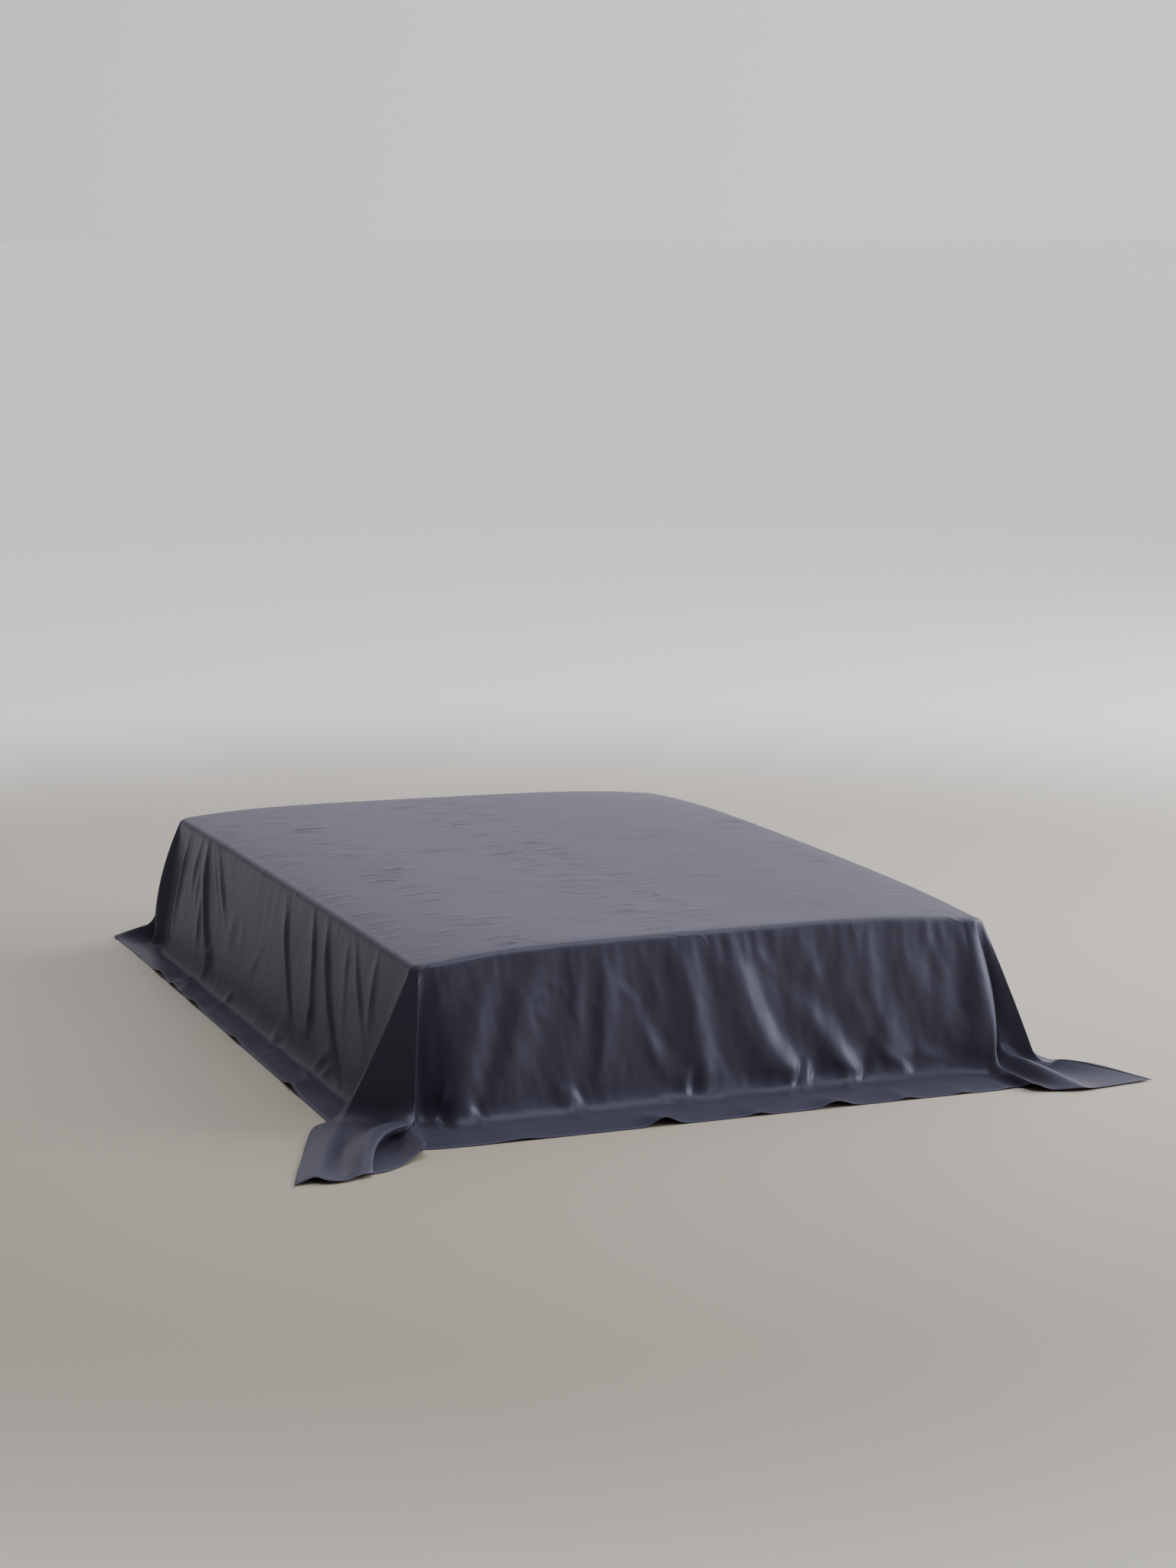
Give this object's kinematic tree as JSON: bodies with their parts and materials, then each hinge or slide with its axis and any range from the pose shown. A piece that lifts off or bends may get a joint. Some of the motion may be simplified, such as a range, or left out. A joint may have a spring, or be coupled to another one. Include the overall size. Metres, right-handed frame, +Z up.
{
  "type": "flat bed sheet draped over a mattress",
  "caption": "Flat cotton sheet draped loosely over a low mattress, falling to the floor in soft folds with long pointed corners.",
  "frame": {"origin": "centre of the mattress's underside, on the floor", "axes": "+Z up, +Y from the foot end to the head end, +X to the right seen from the foot end"},
  "size_m": [2.0826, 2.5543, 0.3793],
  "materials": {
    "sheet": "dark blue-grey cotton sateen with a soft sheen, creased",
    "mattress": "plain off-white woven cover"
  },
  "bodies": {
    "root": {"sheet": "sheet", "mattress": "mattress"}
  },
  "joints": []
}
